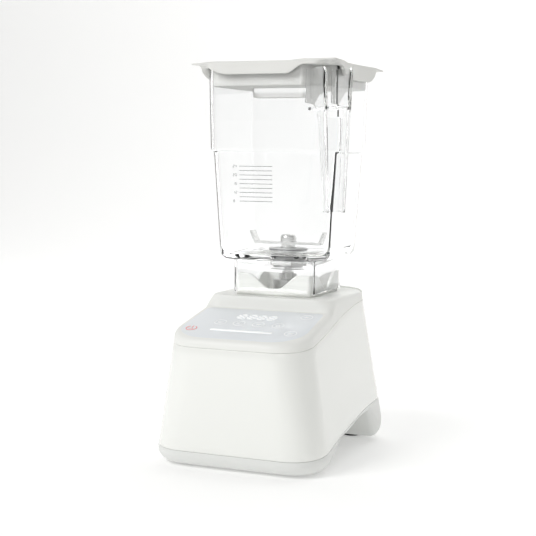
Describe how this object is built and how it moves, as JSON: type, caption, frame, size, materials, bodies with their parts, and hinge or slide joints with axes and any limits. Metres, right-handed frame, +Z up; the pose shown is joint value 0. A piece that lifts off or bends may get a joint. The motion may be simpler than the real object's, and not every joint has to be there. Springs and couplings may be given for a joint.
{
  "type": "countertop blender",
  "caption": "Countertop blender: tapered white base with sloped touch deck, clear square jar with cut corner and channel handle, soft gripper lid.",
  "frame": {"origin": "on the floor under the middle of the base", "axes": "+Z up, -Y towards the front with the control deck, +X to the user's right"},
  "size_m": [0.1792, 0.2282, 0.386],
  "materials": {
    "gloss_white": "glossy moulded",
    "satin_white": "satin moulded",
    "tray_white": "satin moulded",
    "panel_glass": "smooth film over clear plastic",
    "clear_jar": "clear copolyester",
    "lid_rubber": "soft matte rubber",
    "black_rubber": "matte rubber",
    "brushed_steel": "brushed",
    "drive_steel": "machined",
    "bearing_steel": "ground",
    "zinc_screws": "zinc plated",
    "cast_aluminium": "as cast",
    "lamination": "stacked sheet",
    "copper": "enamelled copper",
    "carbon": "pressed carbon",
    "dark_plastic": "moulded",
    "brass": "stamped",
    "circuit_board": "solder mask",
    "display_white": "diffuse"
  },
  "bodies": {
    "base": {"housing": "gloss_white", "top_cover": "satin_white", "touch_panel": "panel_glass", "jar_socket": "satin_white", "drive_boot": "black_rubber", "base_tray": "tray_white", "intake_grille": "tray_white", "feet": "black_rubber", "housing_screws": "zinc_screws", "display_module": "display_white", "light_bar": "display_white", "control_board": "circuit_board", "power_board": "circuit_board", "lower_bracket": "cast_aluminium", "upper_bracket": "cast_aluminium", "motor_bearings": "bearing_steel", "stator_core": "lamination", "field_coils": "copper", "brush_holders": "brass", "brushes": "carbon", "motor_shroud": "dark_plastic", "motor_bolts": "zinc_screws", "motor_isolators": "black_rubber", "switch_bezel": "dark_plastic", "cord_gland": "dark_plastic"},
    "rotor": {"motor_shaft": "brushed_steel", "rotor_core": "lamination", "commutator": "copper", "cooling_fan": "dark_plastic", "drive_socket": "drive_steel"},
    "jar": {"jar": "clear_jar", "bearing_hub": "brushed_steel", "jar_gasket": "black_rubber", "hub_nut": "brushed_steel", "jar_bearings": "bearing_steel", "shaft_seal": "black_rubber"},
    "blade": {"blade": "brushed_steel", "blade_cap": "brushed_steel", "blade_collar": "brushed_steel", "blade_shaft": "brushed_steel", "slinger_disc": "brushed_steel", "drive_dog": "drive_steel"},
    "lid": {"lid": "lid_rubber"},
    "switch": {"switch_rocker": "dark_plastic"}
  },
  "joints": [
    {"name": "jar_lift", "type": "slide", "parent": "base", "child": "jar", "axis": [0, 0, 1], "range_m": [0, 0.08]},
    {"name": "lid_lift", "type": "slide", "parent": "jar", "child": "lid", "axis": [0, 0, 1], "range_m": [0, 0.05]},
    {"name": "motor_spin", "type": "hinge", "parent": "base", "child": "rotor", "pos_m": [0, 0.0305, 0.1], "axis": [0, 0, 1], "continuous": true},
    {"name": "blade_spin", "type": "hinge", "parent": "jar", "child": "blade", "pos_m": [0, 0.0305, 0.2], "axis": [0, 0, 1], "continuous": true},
    {"name": "power_switch", "type": "hinge", "parent": "base", "child": "switch", "pos_m": [0.0281, 0.1048, 0.066], "axis": [1, 0, 0], "range_deg": [0, 9]}
  ],
  "couplings": [
    {"joint": "blade_spin", "follows": "motor_spin", "ratio": 1}
  ]
}
